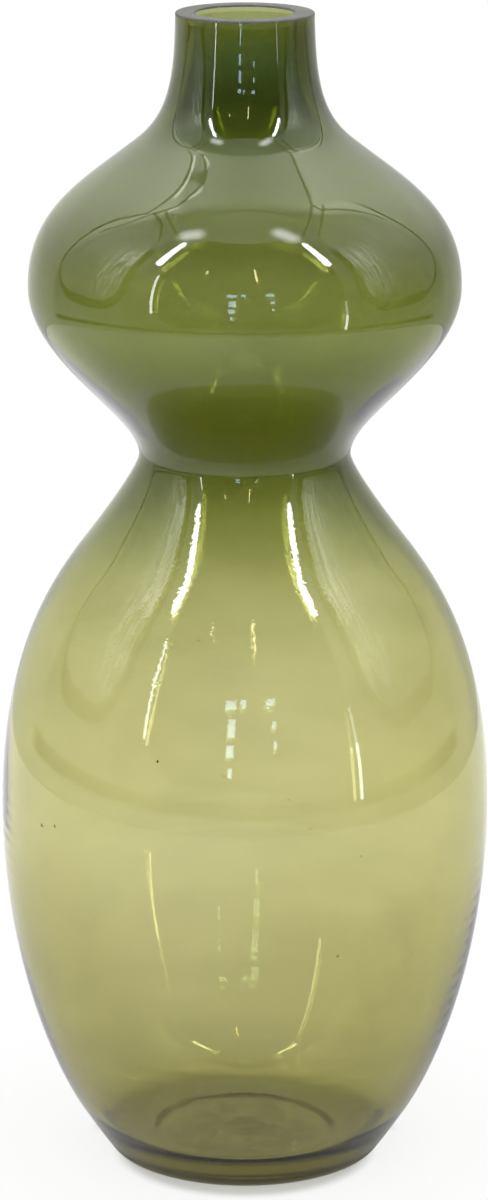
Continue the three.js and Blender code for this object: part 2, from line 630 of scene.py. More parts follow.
def bezier(controls: Sequence[Sequence[float]], steps: int) -> np.ndarray:
    """Points on a Bezier curve.

    Args:
        controls: The control points.
        steps: How many steps it is cut into.

    Returns:
        One point a row, the first and the last control among them.
    """
    shares = np.linspace(0, 1, steps + 1)[:, None]
    points = [np.tile(np.asarray(control, float), (steps + 1, 1)) for control in controls]
    while len(points) > 1:
        points = [a + (b - a) * shares for a, b in zip(points, points[1:])]
    return points[0]


def turn_angles(steps: int) -> np.ndarray:
    """Even angles once round the axis."""
    return np.linspace(0, 2 * math.pi, steps, endpoint=False)


def turned(radius: np.ndarray, height: np.ndarray, steps: int) -> np.ndarray:
    """Rings of points about the Z axis.

    Args:
        radius: A row for each ring, of one radius or of one for each angle.
        height: The height of each ring.
        steps: How many points a ring has.

    Returns:
        The points, ring by ring.
    """
    angle = turn_angles(steps)
    level = np.repeat(height[:, None], steps, 1)
    points = np.stack((radius * np.cos(angle), radius * np.sin(angle), level), 2)
    return points.reshape(-1, 3)


def ring_bands(rings: int, steps: int, closed: bool = False) -> list[Face]:
    """Faces between rings of points that follow one another.

    Args:
        rings: How many rings there are.
        steps: How many points a ring has.
        closed: Whether the last ring joins the first.

    Returns:
        Four-cornered faces, band by band.
    """
    faces: list[Face] = []
    for i in range(rings if closed else rings - 1):
        low, high = i * steps, (i + 1) % rings * steps
        for j in range(steps):
            k = (j + 1) % steps
            faces.append((low + j, low + k, high + k, high + j))
    return faces


def add_piece(
    name: str, vertices: np.ndarray, faces: list[Face], smooth_faces: bool
) -> bpy.types.Object:
    """Adds an object to the scene.

    Args:
        name: Its name.
        vertices: The points of its mesh.
        faces: The faces of its mesh.
        smooth_faces: Whether they are shaded smooth.

    Returns:
        The object.
    """
    mesh = bpy.data.meshes.new(name)
    mesh.from_pydata(vertices.tolist(), [], faces)
    mesh.polygons.foreach_set("use_smooth", [smooth_faces] * len(faces))
    mesh.update()
    piece = bpy.data.objects.new(name, mesh)
    bpy.context.scene.collection.objects.link(piece)
    return piece


@dataclass(frozen=True)
class Stretch:
    """A smooth stretch of the outside from one ring down to the next."""

    top: Ring
    low: Ring
    top_pull: float
    low_pull: float
    steps: int

    def _controls(self) -> list[np.ndarray]:
        """The control points of the curve."""
        rise = self.top.height - self.low.height
        return [
            self.top.place,
            self.top.place + self.top.heading * self.top_pull * rise,
            self.low.place - self.low.heading * self.low_pull * rise,
            self.low.place,
        ]

    def under(self, top_depth: float, low_depth: float) -> np.ndarray:
        """Points under the outside.

        Args:
            top_depth: How deep under the upper ring.
            low_depth: How deep under the lower ring.

        Returns:
            Points from the top down, their depth passing smoothly from one to the other.
        """
        controls = self._controls()
        along = bezier([b - a for a, b in zip(controls, controls[1:])], self.steps)
        along /= np.linalg.norm(along, axis=1)[:, None]
        outward = np.stack((-along[:, 1], along[:, 0]), 1)
        depth = top_depth + (low_depth - top_depth) * smooth(np.linspace(0, 1, self.steps + 1))
        return bezier(controls, self.steps) - outward * depth[:, None]

    def in_wall(self, share: float) -> np.ndarray:
        """Points a share of the wall under the outside, from the top down."""
        return self.under(self.top.wall * share, self.low.wall * share)


@dataclass(frozen=True)
class Flaws:
    """Everything caught in the wall: flaws placed one by one, and small seeds spread over the rest.
    """

    placed: tuple[Inclusion, ...] = (
        Inclusion(Flaw.GRAIN, -21.1, 0.1621, 0.00042),
        Inclusion(Flaw.GRAIN, -10.5, 0.2387, 0.00026),
        Inclusion(Flaw.GRAIN, 44.5, 0.0891, 0.00028),
        Inclusion(Flaw.GRAIN, -37.1, 0.1135, 0.00026),
        Inclusion(Flaw.GRAIN, -37.5, 0.1044, 0.00024),
        Inclusion(Flaw.GRAIN, -23.2, 0.2005, 0.00024),
        Inclusion(Flaw.GRAIN, -13.4, 0.2005, 0.00024),
        Inclusion(Flaw.GRAIN, -36.9, 0.1652, 0.00022),
        Inclusion(Flaw.GRAIN, 10.2, 0.1508, 0.00022),
        Inclusion(Flaw.SEED, 22.3, 0.0945, 0.00045),
        Inclusion(Flaw.SEED, -55.0, 0.1313, 0.00060),
        Inclusion(Flaw.SEED, -49.9, 0.1329, 0.00050),
    )
    spare_seeds: int = 22
    first_turn: float = 60.0
    next_turn: float = 137.508
    first_climb: float = 0.21
    next_climb: float = 0.618034
    next_growth: float = 0.754878
    lowest: float = 0.03
    reach: float = 0.33
    seed_size: float = 0.00016
    steps: int = 10
    bands: int = 6
    flat: float = 0.8
    tall: float = 1.15
    front: float = -90.0
    grain_rough: float = 0.2
    lumps_round: int = 3
    lumps_down: int = 5
    bake_step: float = 2e-4

    def all(self) -> list[Inclusion]:
        """Every flaw, those listed first.

        Returns:
            The flaws.
        """
        spread = list(self.placed)
        for i in range(self.spare_seeds):
            angle = (self.first_turn + self.next_turn * i) % 360
            climb = (i * self.next_climb + self.first_climb) % 1
            growth = (i * self.next_growth) % 1
            size = self.seed_size + self.seed_size * growth
            spread.append(Inclusion(Flaw.SEED, angle, self.lowest + self.reach * climb, size))
        return spread

    def shell(self, flaw: Inclusion, radius: float) -> tuple[np.ndarray, list[Face]]:
        """The small closed shell of a flaw.

        Args:
            flaw: What is caught and where.
            radius: How far from the axis it lies.

        Returns:
            Vertices and faces; a seed's faces look into it, because it is a hollow in the glass.
        """
        turn = math.radians(flaw.angle + self.front)
        out = np.array((math.cos(turn), math.sin(turn), 0))
        side = np.array((-math.sin(turn), math.cos(turn), 0))
        tall = np.array((0, 0, self.tall))
        centre = out * radius + np.array((0, 0, flaw.height))
        polar = np.repeat(np.linspace(0, math.pi, self.bands + 1)[1:-1], self.steps)[:, None]
        around = np.tile(turn_angles(self.steps), self.bands - 1)[:, None]
        rough = np.ones_like(around)
        if flaw.flaw is Flaw.GRAIN:
            lumps = self.lumps_round * around + self.lumps_down * polar
            wobble = np.sin(lumps + flaw.angle)
            rough = 1 - self.grain_rough + self.grain_rough * wobble
        level = out * self.flat * np.cos(around) + side * np.sin(around)
        grid = centre + (level * np.sin(polar) + tall * np.cos(polar)) * flaw.size * rough
        vertices = np.concatenate((grid, [centre + tall * flaw.size, centre - tall * flaw.size]))
        crown, foot = len(grid), len(grid) + 1
        tail = len(grid) - self.steps
        faces = ring_bands(self.bands - 1, self.steps)
        for j in range(self.steps):
            k = (j + 1) % self.steps
            faces += [(crown, k, j), (foot, tail + j, tail + k)]
        if flaw.flaw is Flaw.GRAIN:
            faces = [face[::-1] for face in faces]
        return vertices, faces

    def places(self, flaw: Inclusion, faces: list[Face]) -> np.ndarray:
        """Places on the bake map for a flaw.

        Args:
            flaw: The flaw.
            faces: The faces of its shell.

        Returns:
            A place for each corner of each face, close together.
        """
        spot = np.array(((0.5 + (flaw.angle + self.front) / 360) % 1, flaw.height))
        corners = np.concatenate([np.array(face) for face in faces])
        cells = np.column_stack((corners % self.steps, corners // self.steps))
        return spot + cells * self.bake_step


@dataclass
class VaseGlass:
    """The whole wall of glass: neck, bulb, waist, body, foot and punt."""

    name: str = "vase_glass"
    heel_rise: float = 0.0167
    belly_rise: float = 0.1096
    flank_rise: float = 0.0907
    waist_rise: float = 0.0323
    bulb_rise: float = 0.0582
    shoulder_rise: float = 0.0497
    neck_rise: float = 0.0428
    foot_radius: float = 0.047
    heel_radius: float = 0.05875
    belly_radius: float = 0.0844
    flank_radius: float = 0.0566
    waist_radius: float = 0.0362
    bulb_radius: float = 0.0733
    shoulder_radius: float = 0.0363
    rim_radius: float = 0.0233
    upright: float = 90.0
    shoulder_slope: float = 38.7
    flank_slope: float = 52.7
    heel_slope: float = 122.5
    heel_pull: float = 0.55
    rim_wall: float = 0.0066
    shoulder_wall: float = 0.0044
    bulb_wall: float = 0.0032
    waist_wall: float = 0.0046
    flank_wall: float = 0.0034
    belly_wall: float = 0.0028
    heel_wall: float = 0.0036
    rim_bevel: float = 0.0007
    floor_height: float = 0.0032
    floor_radius: float = 0.030
    floor_crown: float = 0.0003
    floor_pull: float = 0.011
    punt_radius: float = 0.0345
    punt_side: float = 0.0065
    punt_rise: float = 0.0009
    punt_crown: float = 0.0004
    rim_overlay: float = 0.0012
    shoulder_overlay: float = 0.0026
    bulb_overlay: float = 0.0012
    waist_overlay: float = 0.0021
    flank_overlay: float = 0.0008
    round_steps: int = 192
    crown_steps: int = 14
    side_steps: int = 9
    foot_steps: int = 5
    heel_steps: int = 14
    bevel_steps: int = 4
    rim_steps: int = 6
    cove_steps: int = 16
    floor_steps: int = 11
    outer_waves: tuple[Wave, ...] = (
        Wave(2, 1.3, 0.4, 0.00010),
        Wave(3, -2.1, 1.9, 0.00006),
        Wave(5, 3.4, 4.1, 0.00003),
    )
    inner_waves: tuple[Wave, ...] = (
        Wave(2, -1.1, 2.7, 0.00012),
        Wave(5, 2.9, 0.8, 0.00006),
        Wave(9, -4.7, 5.2, 0.00003),
        Wave(14, 6.3, 3.3, 0.000015),
    )
    true_foot: float = 0.03
    true_rim: float = 0.012
    flaws: Flaws = Flaws()

    def rings(self) -> dict[str, Ring]:
        """The rings of the outside, by name, from the heel up.

        Returns:
            The rings.
        """
        heel = self.heel_rise
        belly = heel + self.belly_rise
        flank = belly + self.flank_rise
        waist = flank + self.waist_rise
        bulb = waist + self.bulb_rise
        shoulder = bulb + self.shoulder_rise
        rim = shoulder + self.neck_rise
        return {
            "heel": Ring(self.heel_radius, heel, self.heel_slope, self.heel_wall),
            "belly": Ring(self.belly_radius, belly, self.upright, self.belly_wall),
            "flank": Ring(
                self.flank_radius, flank, self.flank_slope, self.flank_wall, self.flank_overlay
            ),
            "waist": Ring(
                self.waist_radius, waist, self.upright, self.waist_wall, self.waist_overlay
            ),
            "bulb": Ring(self.bulb_radius, bulb, self.upright, self.bulb_wall, self.bulb_overlay),
            "shoulder": Ring(
                self.shoulder_radius,
                shoulder,
                self.shoulder_slope,
                self.shoulder_wall,
                self.shoulder_overlay,
            ),
            "rim": Ring(self.rim_radius, rim, self.upright, self.rim_wall, self.rim_overlay),
        }

    def stretches(self) -> list[Stretch]:
        """The stretches of the outside, from the rim down to the heel."""
        r = self.rings()
        return [
            Stretch(r["rim"], r["shoulder"], 0.556, 0.301, 26),
            Stretch(r["shoulder"], r["bulb"], 0.475, 0.520, 34),
            Stretch(r["bulb"], r["waist"], 0.427, 0.261, 40),
            Stretch(r["waist"], r["flank"], 0.163, 0.325, 22),
            Stretch(r["flank"], r["belly"], 0.232, 0.531, 36),
            Stretch(r["belly"], r["heel"], 0.508, 0.160, 44),
        ]

    def under_run(self) -> np.ndarray:
        """The underside from the axis out to the foot ring's edge.

        Returns:
            Points of radius and height.
        """
        edge = self.punt_radius - self.punt_side
        middle = self.punt_radius - self.punt_side / 2
        rise = self.punt_rise
        top = rise + self.punt_crown
        foot = (self.punt_radius, 0)
        crown = bezier([(0, top), (edge / 2, top), (edge, rise)], self.crown_steps)
        side = bezier([(edge, rise), (middle, rise), (middle, 0), foot], self.side_steps)
        flat = bezier([foot, (self.foot_radius, 0)], self.foot_steps)
        return np.concatenate((crown, side[1:], flat[1:]))

    def heel_run(self) -> np.ndarray:
        """The rounding from the foot ring up to the heel.

        Returns:
            Points of radius and height.
        """
        heel = self.rings()["heel"]
        corner = heel.place + heel.heading * heel.height / math.sin(math.radians(heel.slope))
        edge = np.array((self.foot_radius, 0.0))
        out = edge + (corner - edge) * self.heel_pull
        down = heel.place + (corner - heel.place) * self.heel_pull
        return bezier([edge, out, down, heel.place], self.heel_steps)[1:]

    def rim_run(self) -> np.ndarray:
        """The rim from the outside over its ground face to the inside.

        Returns:
            Points of radius and height.
        """
        top = self.rings()["rim"].height
        bevel = self.rim_bevel
        outer = self.rim_radius
        inner = self.rim_radius - self.rim_wall
        face_start, face_end = (outer - bevel, top), (inner + bevel, top)
        out = bezier([(outer, top - bevel), (outer, top), face_start], self.bevel_steps)
        face = bezier([face_start, face_end], self.rim_steps)
        into = bezier([face_end, (inner, top), (inner, top - bevel)], self.bevel_steps)
        return np.concatenate((out, face[1:], into[1:]))

    def floor_run(self, wall_foot: np.ndarray) -> np.ndarray:
        """The cove and floor inside.

        Args:
            wall_foot: Where the inside of the wall ends.

        Returns:
            Points from there in to the axis.
        """
        down = wall_foot + self.rings()["heel"].heading * self.floor_pull
        edge = np.array((self.floor_radius, self.floor_height))
        cove = bezier([wall_foot, down, edge + (self.floor_pull, 0), edge], self.cove_steps)
        middle = edge + (-self.floor_radius / 2, self.floor_crown / 2)
        top = (0, self.floor_height + self.floor_crown)
        flat = bezier([edge, middle, top], self.floor_steps)
        return np.concatenate((cove[1:], flat[1:]))

    def profile(self) -> tuple[np.ndarray, list[Zone]]:
        """The closed section of the wall.

        Returns:
            Its points from the axis underneath, up the outside, over the rim and down the inside
            to the axis again, and the zone of each.
        """
        outside = np.concatenate([s.in_wall(0.0)[:-1] for s in self.stretches()])[1:][::-1]
        inside = np.concatenate([s.in_wall(1.0)[1:] for s in self.stretches()])
        runs = [
            (Zone.UNDER, self.under_run()),
            (Zone.OUTSIDE, self.heel_run()),
            (Zone.OUTSIDE, outside),
            (Zone.RIM, self.rim_run()),
            (Zone.INSIDE, inside),
            (Zone.FLOOR, self.floor_run(inside[-1])),
        ]
        points = np.concatenate([run for _, run in runs])
        zones = [zone for zone, run in runs for _ in run]
        return points, zones

    def unevenness(self, height: np.ndarray, inside: bool) -> np.ndarray:
        """How far the hand-blown wall stands out of true.

        Args:
            height: Heights of the rows.
            inside: Whether the rows are on the inside.

        Returns:
            An offset of the radius for each row and angle, none at the rim and the foot.
        """
        angle = turn_angles(self.round_steps)
        top = self.rings()["rim"].height
        from_foot = np.clip(height / self.true_foot, 0, 1)
        from_rim = np.clip((top - height) / self.true_rim, 0, 1)
        offset = np.zeros((len(height), len(angle)))
        for wave in self.inner_waves if inside else self.outer_waves:
            upward = 2 * math.pi * wave.upward * height[:, None] / top
            offset += wave.depth * np.sin(wave.around * angle[None, :] + upward + wave.phase)
        return offset * smooth(from_foot * from_rim)[:, None]

    def wall_mesh(self) -> tuple[np.ndarray, list[Face], list[int], np.ndarray]:
        """The turned wall.

        Returns:
            Its vertices, its faces, each face's material number, and a place on the bake map for
            each corner of each face.
        """
        points, zones = self.profile()
        steps = self.round_steps
        rows = points[1:-1]
        radius = np.repeat(rows[:, :1], steps, 1)
        for zone, inside in ((Zone.OUTSIDE, False), (Zone.INSIDE, True)):
            picked = np.array([z is zone for z in zones[1:-1]])
            radius[picked] += self.unevenness(rows[picked, 1], inside)
        poles = [(0, 0, points[0, 1]), (0, 0, points[-1, 1])]
        vertices = np.concatenate((turned(radius, rows[:, 1], steps), poles))
        lengths = np.linalg.norm(np.diff(points, axis=0), axis=1)
        travelled = np.concatenate(([0.0], np.cumsum(lengths)))
        share = travelled / travelled[-1]
        faces: list[Face] = []
        places: list[Point] = []
        first, last = len(vertices) - 2, len(vertices) - 1
        end = (len(rows) - 1) * steps
        for j in range(steps):
            k = (j + 1) % steps
            left, middle, right = j / steps, (j + 0.5) / steps, (j + 1) / steps
            faces += [(first, k, j), (last, end + j, end + k)]
            places += [(middle, share[0]), (right, share[1]), (left, share[1])]
            places += [(middle, share[-1]), (left, share[-2]), (right, share[-2])]
        faces += ring_bands(len(rows), steps)
        finishes = [Finish.CASED.value] * (2 * steps)
        for i, pair in enumerate(zip(zones[1:-2], zones[2:-1])):
            ground = pair == (Zone.RIM, Zone.RIM)
            finishes += [Finish.GROUND.value if ground else Finish.CASED.value] * steps
            low, high = share[i + 1], share[i + 2]
            for j in range(steps):
                left, right = j / steps, (j + 1) / steps
                places += [(left, low), (right, low), (right, high), (left, high)]
        return vertices, faces, finishes, np.array(places)

    def mid_wall(self, height: float) -> float:
        """The radius of the middle of the wall at a height."""
        middle = np.concatenate([s.in_wall(0.5) for s in self.stretches()])[::-1]
        return float(np.interp(height, middle[:, 1], middle[:, 0]))

    def build(self) -> bpy.types.Object:
        """The wall with everything caught in it, as one object.

        Returns:
            The object.
        """
        vertices, faces, finishes, places = self.wall_mesh()
        stock = [vertices]
        corner_places = [places]
        count = len(vertices)
        for flaw in self.flaws.all():
            points, shell = self.flaws.shell(flaw, self.mid_wall(flaw.height))
            stock.append(points)
            faces += [tuple(index + count for index in face) for face in shell]
            finish = Finish.GRAIN if flaw.flaw is Flaw.GRAIN else Finish.CASED
            finishes += [finish.value] * len(shell)
            corner_places.append(self.flaws.places(flaw, shell))
            count += len(points)
        piece = add_piece(self.name, np.concatenate(stock), faces, True)
        piece.data.polygons.foreach_set("material_index", finishes)
        layer = piece.data.uv_layers.new(name="OFBake")
        layer.uv.foreach_set("vector", np.concatenate(corner_places).astype(np.float32).ravel())
        piece.data.update()
        return piece

    def dress(self, piece: bpy.types.Object) -> None:
        """Gives the wall its finishes and its place in the frame.

        Args:
            piece: The built wall.
        """
        makers = {Finish.CASED: CasedGlass(), Finish.GROUND: GroundGlass(), Finish.GRAIN: DarkGrain()}
        for finish in Finish:
            piece.data.materials.append(makers[finish].make())
        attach(piece, "root")
        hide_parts("olive_vessel")


@dataclass
class GreenOverlay:
    """The green body in the outer part of the wall, from under the rim to the upper flank."""

    wall: VaseGlass
    name: str = "overlay_glass"
    skin: float = 0.00004
    rim_gap: float = 0.00084
    low_end: float = 0.192
    thinning: float = 0.03
    thinnest: float = 0.02

    def section(self) -> np.ndarray:
        """The closed section: up its outer side and down its inner side.

        Returns:
            Points of radius and height.
        """
        top = self.wall.rings()["rim"].height - self.rim_gap
        cased = [part for part in self.wall.stretches() if part.top.overlay > 0.0]
        outer = np.concatenate([part.under(self.skin, self.skin)[:-1] for part in cased])
        inner = np.concatenate(
            [
                part.under(self.skin + part.top.overlay, self.skin + part.low.overlay)[:-1]
                for part in cased
            ]
        )
        kept = (outer[:, 1] < top) & (outer[:, 1] > self.low_end)
        outer, inner = outer[kept], inner[kept]
        full = np.clip((outer[:, 1] - self.low_end) / self.thinning, self.thinnest, 1.0)
        inner = outer + (inner - outer) * full[:, None]
        return np.concatenate((outer[::-1], inner))

    def build(self) -> bpy.types.Object:
        """The overlay as one closed ring of glass.

        Returns:
            The object.
        """
        section = self.section()
        steps = self.wall.round_steps
        radius = section[:, :1] + self.wall.unevenness(section[:, 1], False)
        points = turned(radius, section[:, 1], steps)
        return add_piece(self.name, points, ring_bands(len(section), steps, closed=True), True)

    def dress(self, piece: bpy.types.Object) -> None:
        """Gives the overlay its finish and its place in the frame.

        Args:
            piece: The built overlay.
        """
        piece.data.materials.append(GreenGlass().make())
        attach(piece, "root")
        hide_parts("green_overlay")


def stage_material(name: str) -> tuple[bpy.types.Material, Graph]:
    """A new material of the studio, which is not sampled as a lamp, and its graph.

    Args:
        name: Its name.

    Returns:
        The material and its graph.
    """
    material, graph = fresh_material(name)
    material.cycles.emission_sampling = "NONE"
    return material, graph


def mirrored(graph: Graph) -> Value:
    """1 for a ray that some glass has mirrored on its way from the camera, else 0.

    Args:
        graph: The graph of a material or of the world.

    Returns:
        The test of the ray.
    """
    path = graph.node("ShaderNodeLightPath")
    glossy = Value(graph, path.outputs["Glossy Depth"])
    diffuse = Value(graph, path.outputs["Diffuse Depth"])
    return (glossy > BOUNCED) * (1 - (diffuse > BOUNCED))


def end_with_mirrored_light(graph: Graph, colour: Fill, cover: Value | float) -> None:
    """Ends a graph with light that mirrored rays see and other rays pass through.

    Args:
        graph: The material's graph.
        colour: The colour of the light.
        cover: 1 where there is something to see, else 0.
    """
    clear = graph.node("ShaderNodeBsdfTransparent")
    light = graph.node("ShaderNodeEmission", inputs={"Color": colour, "Strength": 1.0})
    share = mirrored(graph) * cover
    both = {0: share, 1: clear.outputs[0], 2: light.outputs[0]}
    mix = graph.node("ShaderNodeMixShader", inputs=both)
    graph.output("ShaderNodeOutputMaterial", Surface=mix.outputs[0])


@dataclass
class PaleFloor:
    """A round pale floor that keeps the shadow of the vase, with a painted shadow round its foot, and
    ends in a white backdrop.

    Places on it are distances from the axis, or from left to right and from front to back.
    """

    name: str = "floor"
    radius: float = 3.4
    steps: int = 96
    lift: float = 0.00003
    # Colour and glow of the floor in the painted shadow by the foot: darker than the backdrop's, on
    # top of the real shadow that the matte part catches.
    colour: Colour = (0.68, 0.68, 0.67)
    glow: float = 0.28
    backdrop_colour: Colour = (0.20, 0.20, 0.20)
    backdrop_glow: float = 0.83
    # Fades of the painted shadow: crisp and shifted to the front for rays from the camera, soft
    # through the glass, with a rim behind the foot.
    shade: Fade = Fade(0.0405, 0.0475)
    shade_shift: float = 0.012
    foot_rim: Fade = Fade(0.0475, 0.056)
    foot_back: Fade = Fade(0.0, 0.02)
    soft_shade: Fade = Fade(0.041, 0.066)
    soft_shift: float = 0.006
    tent_hem: Fade = Fade(0.744, 0.76)
    # Painted light and shade of the floor's reflection in the glass: darker near the vase, brighter
    # to the left, dark beyond the tent's hem.
    mirrored_near: float = 0.72
    mirrored_far: float = 1.12
    mirrored_reach: Fade = Fade(0.12, 0.5)
    mirrored_left: float = 1.1
    mirrored_right: float = 0.9
    mirrored_sides: Fade = Fade(-0.1, 0.1)
    # Painted shade of the floor seen through the glass, near the foot and near the vase, and a
    # painted caustic: a brighter ring in front of the foot.
    foot_shade_level: float = 0.90
    foot_reach: Fade = Fade(0.098, 0.132)
    near_shade_level: float = 0.86
    near_reach: Fade = Fade(0.15, 0.40)
    painted_caustic_radius: float = 0.043
    painted_caustic_edge: Fade = Fade(0.003, 0.008)
    painted_caustic_front: Fade = Fade(-0.03, -0.012)
    painted_caustic_gain: float = 1.25

    def _open(self, x: Value, y: Value, radius: Value, direct: Value) -> Value:
        """How far a place is clear of the painted shadow round the foot of the vase.

        Args:
            x: Its place from left to right.
            y: Its place from front to back.
            radius: Its distance from the axis.
            direct: 1 for a ray straight from the camera, else 0.

        Returns:
            1 in the open and 0 in the painted shadow, which is soft where it is seen through the
            glass.
        """
        soft = self.soft_shade.up(length(x, y + self.soft_shift))
        behind = self.foot_rim.up(radius).most(self.foot_back.down(y))
        crisp = self.shade.up(length(x, y + self.shade_shift)).least(behind)
        return soft + direct * (crisp - soft)

    def _level(self, graph: Graph, x: Value, y: Value, radius: Value, through: Value) -> Value:
        """The painted light and shade of a place as mirrored rays and rays through the glass see it.

        Args:
            graph: The floor's graph.
            x: Its place from left to right.
            y: Its place from front to back.
            radius: Its distance from the axis.
            through: 1 for a ray that has passed some glass, else 0.

        Returns:
            A factor, 1 for a ray straight from the camera.
        """
        reach = self.mirrored_reach.up(radius) * (self.mirrored_far - self.mirrored_near)
        sides = self.mirrored_sides.up(x) * (self.mirrored_left - self.mirrored_right)
        painted_mirrored_level = (self.mirrored_near + reach) * (self.mirrored_left - sides)
        level = 1 + mirrored(graph) * (painted_mirrored_level * self.tent_hem.down(radius) - 1)
        # Painted shade near the foot and the vase, and a painted caustic ring in front of the foot,
        # for rays through the glass.
        painted_foot_shade = self.foot_reach.down(radius) * (1 - self.foot_shade_level)
        near = self.near_reach.down(radius) * (1 - self.near_shade_level)
        ring = self.painted_caustic_edge.down(abs(radius - self.painted_caustic_radius)) * self.painted_caustic_front.down(y)
        level = level * (1 - through * painted_foot_shade) * (1 - through * near)
        return level * (1 + through * ring * self.painted_caustic_gain)

    def make(self) -> bpy.types.Material:
        """The floor and backdrop as a material.

        Returns:
            The material.
        """
        material, graph = stage_material("pale_floor")
        path = graph.node("ShaderNodeLightPath")
        direct = Value(graph, path.outputs["Is Camera Ray"])
        seen = direct.most(Value(graph, path.outputs["Is Glossy Ray"]))
        seen = seen.most(Value(graph, path.outputs["Is Transmission Ray"]))
        through = Value(graph, path.outputs["Transmission Depth"]) > BOUNCED
        x, y, _ = graph.axes(graph.object_place())
        radius = length(x, y)
        clear = self._open(x, y, radius, direct)
        level = self._level(graph, x, y, radius, through)
        # Painted shadow: by the foot the floor takes the darker colour and weaker glow, away from it
        # the backdrop's.
        tint = graph.mixed(clear, opaque(self.colour), opaque(self.backdrop_colour))
        tint = graph.mixed(1.0, tint, graph.grey(level), "MULTIPLY")
        matte = graph.node("ShaderNodeBsdfDiffuse", inputs={"Color": tint})
        glow = (self.glow + clear * (self.backdrop_glow - self.glow)) * level * seen
        light = graph.node("ShaderNodeEmission", inputs={"Color": graph.grey(glow)})
        both = graph.node("ShaderNodeAddShader", inputs={0: matte.outputs[0], 1: light.outputs[0]})
        graph.output("ShaderNodeOutputMaterial", Surface=both.outputs[0])
        return material

    def build(self) -> bpy.types.Object:
        """The floor, a hair above Z = 0.

        Returns:
            The object.
        """
        rim = turned(np.array([[self.radius]]), np.zeros(1), self.steps)
        floor = add_piece(self.name, rim, [tuple(range(self.steps))], False)
        floor.location.z = self.lift
        floor.data.materials.append(self.make())
        return floor


def soft_edge(half_width: float, softness: float) -> Fade:
    """The edge of a line of some width."""
    return Fade(half_width - softness, half_width + softness)


@dataclass(frozen=True)
class Patch:
    """A rounded patch of the tent, in degrees round from the front and up from its middle."""

    left: float
    right: float
    low: float
    high: float
    corner: float

    def distance(self, around: Value, up: Value) -> Value:
        """How far outside the patch a place is.

        Args:
            around: Degrees round from the front.
            up: Degrees up from the middle.

        Returns:
            Degrees, negative inside.
        """
        across = abs(around - (self.left + self.right) / 2)
        upward = abs(up - (self.low + self.high) / 2)
        across = across - (self.right - self.left) / 2 + self.corner
        upward = upward - (self.high - self.low) / 2 + self.corner
        beyond = length(across.most(0.0), upward.most(0.0))
        return beyond + across.most(upward).least(0.0) - self.corner


@dataclass(frozen=True)
class Line:
    """A straight line on the tent between two places."""

    start: Point
    end: Point

    def distance(self, across: Value, along: Value) -> Value:
        """How far from the line a place is.

        Args:
            across: The first part of the place.
            along: The second part of the place.

        Returns:
            The distance, in the unit of the places.
        """
        run = (self.end[0] - self.start[0], self.end[1] - self.start[1])
        x, y = across - self.start[0], along - self.start[1]
        share = (x * run[0] + y * run[1]) / (run[0] ** 2 + run[1] ** 2)
        share = share.most(0.0).least(1.0)
        return length(x - share * run[0], y - share * run[1])


@dataclass(frozen=True)
class Strip:
    """A straight lit strip on the tent: its middle line, half its width, softness and level."""

    line: Line
    half_width: float
    softness: float
    level: float

    def light(self, across: Value, along: Value) -> Value:
        """The level that the strip adds at a place, 0 away from it."""
        edge = soft_edge(self.half_width, self.softness)
        return self.level * edge.down(self.line.distance(across, along))


@dataclass(frozen=True)
class Seam:
    """A thin dark seam of the roof, seen from above, through places in hundredths of its radius."""

    places: tuple[Point, ...]
    half_width: float = 0.75
    softness: float = 0.35
    depth: float = 0.65

    def shade(self, across: Value, back: Value) -> Value:
        """The share of light that the seam takes at a place.

        Args:
            across: The place from left to right.
            back: The place from front to back.

        Returns:
            The share, 0 away from the seam.
        """
        lines = [Line(start, end) for start, end in zip(self.places, self.places[1:])]
        away = lines[0].distance(across, back)
        for line in lines[1:]:
            away = away.least(line.distance(across, back))
        return self.depth * soft_edge(self.half_width, self.softness).down(away)


@dataclass(frozen=True)
class Cloth:
    """How bright a side of the tent is from the ground up: pairs of degrees up and level."""

    levels: tuple[Point, ...]
    lowest: float = -20.0
    highest: float = 90.0

    def light(self, graph: Graph, up: Value) -> Value:
        """The level at a place.

        Args:
            graph: The tent's graph.
            up: Its degrees up from the tent's middle.

        Returns:
            The level.
        """
        full = max(level for _, level in self.levels)
        span = self.highest - self.lowest
        stops = [((at - self.lowest) / span, (level / full,) * 3) for at, level in self.levels]
        share = (up - self.lowest) / span
        ramp = graph.node("ShaderNodeValToRGB", {"stops": stops}, {"Fac": share})
        return Value(graph, ramp.outputs["Color"]) * full


@dataclass(frozen=True)
class TentPlace:
    """A place on the tent: shares of its radius, and degrees round from the front and up."""

    x: Value
    y: Value
    z: Value
    around: Value
    up: Value


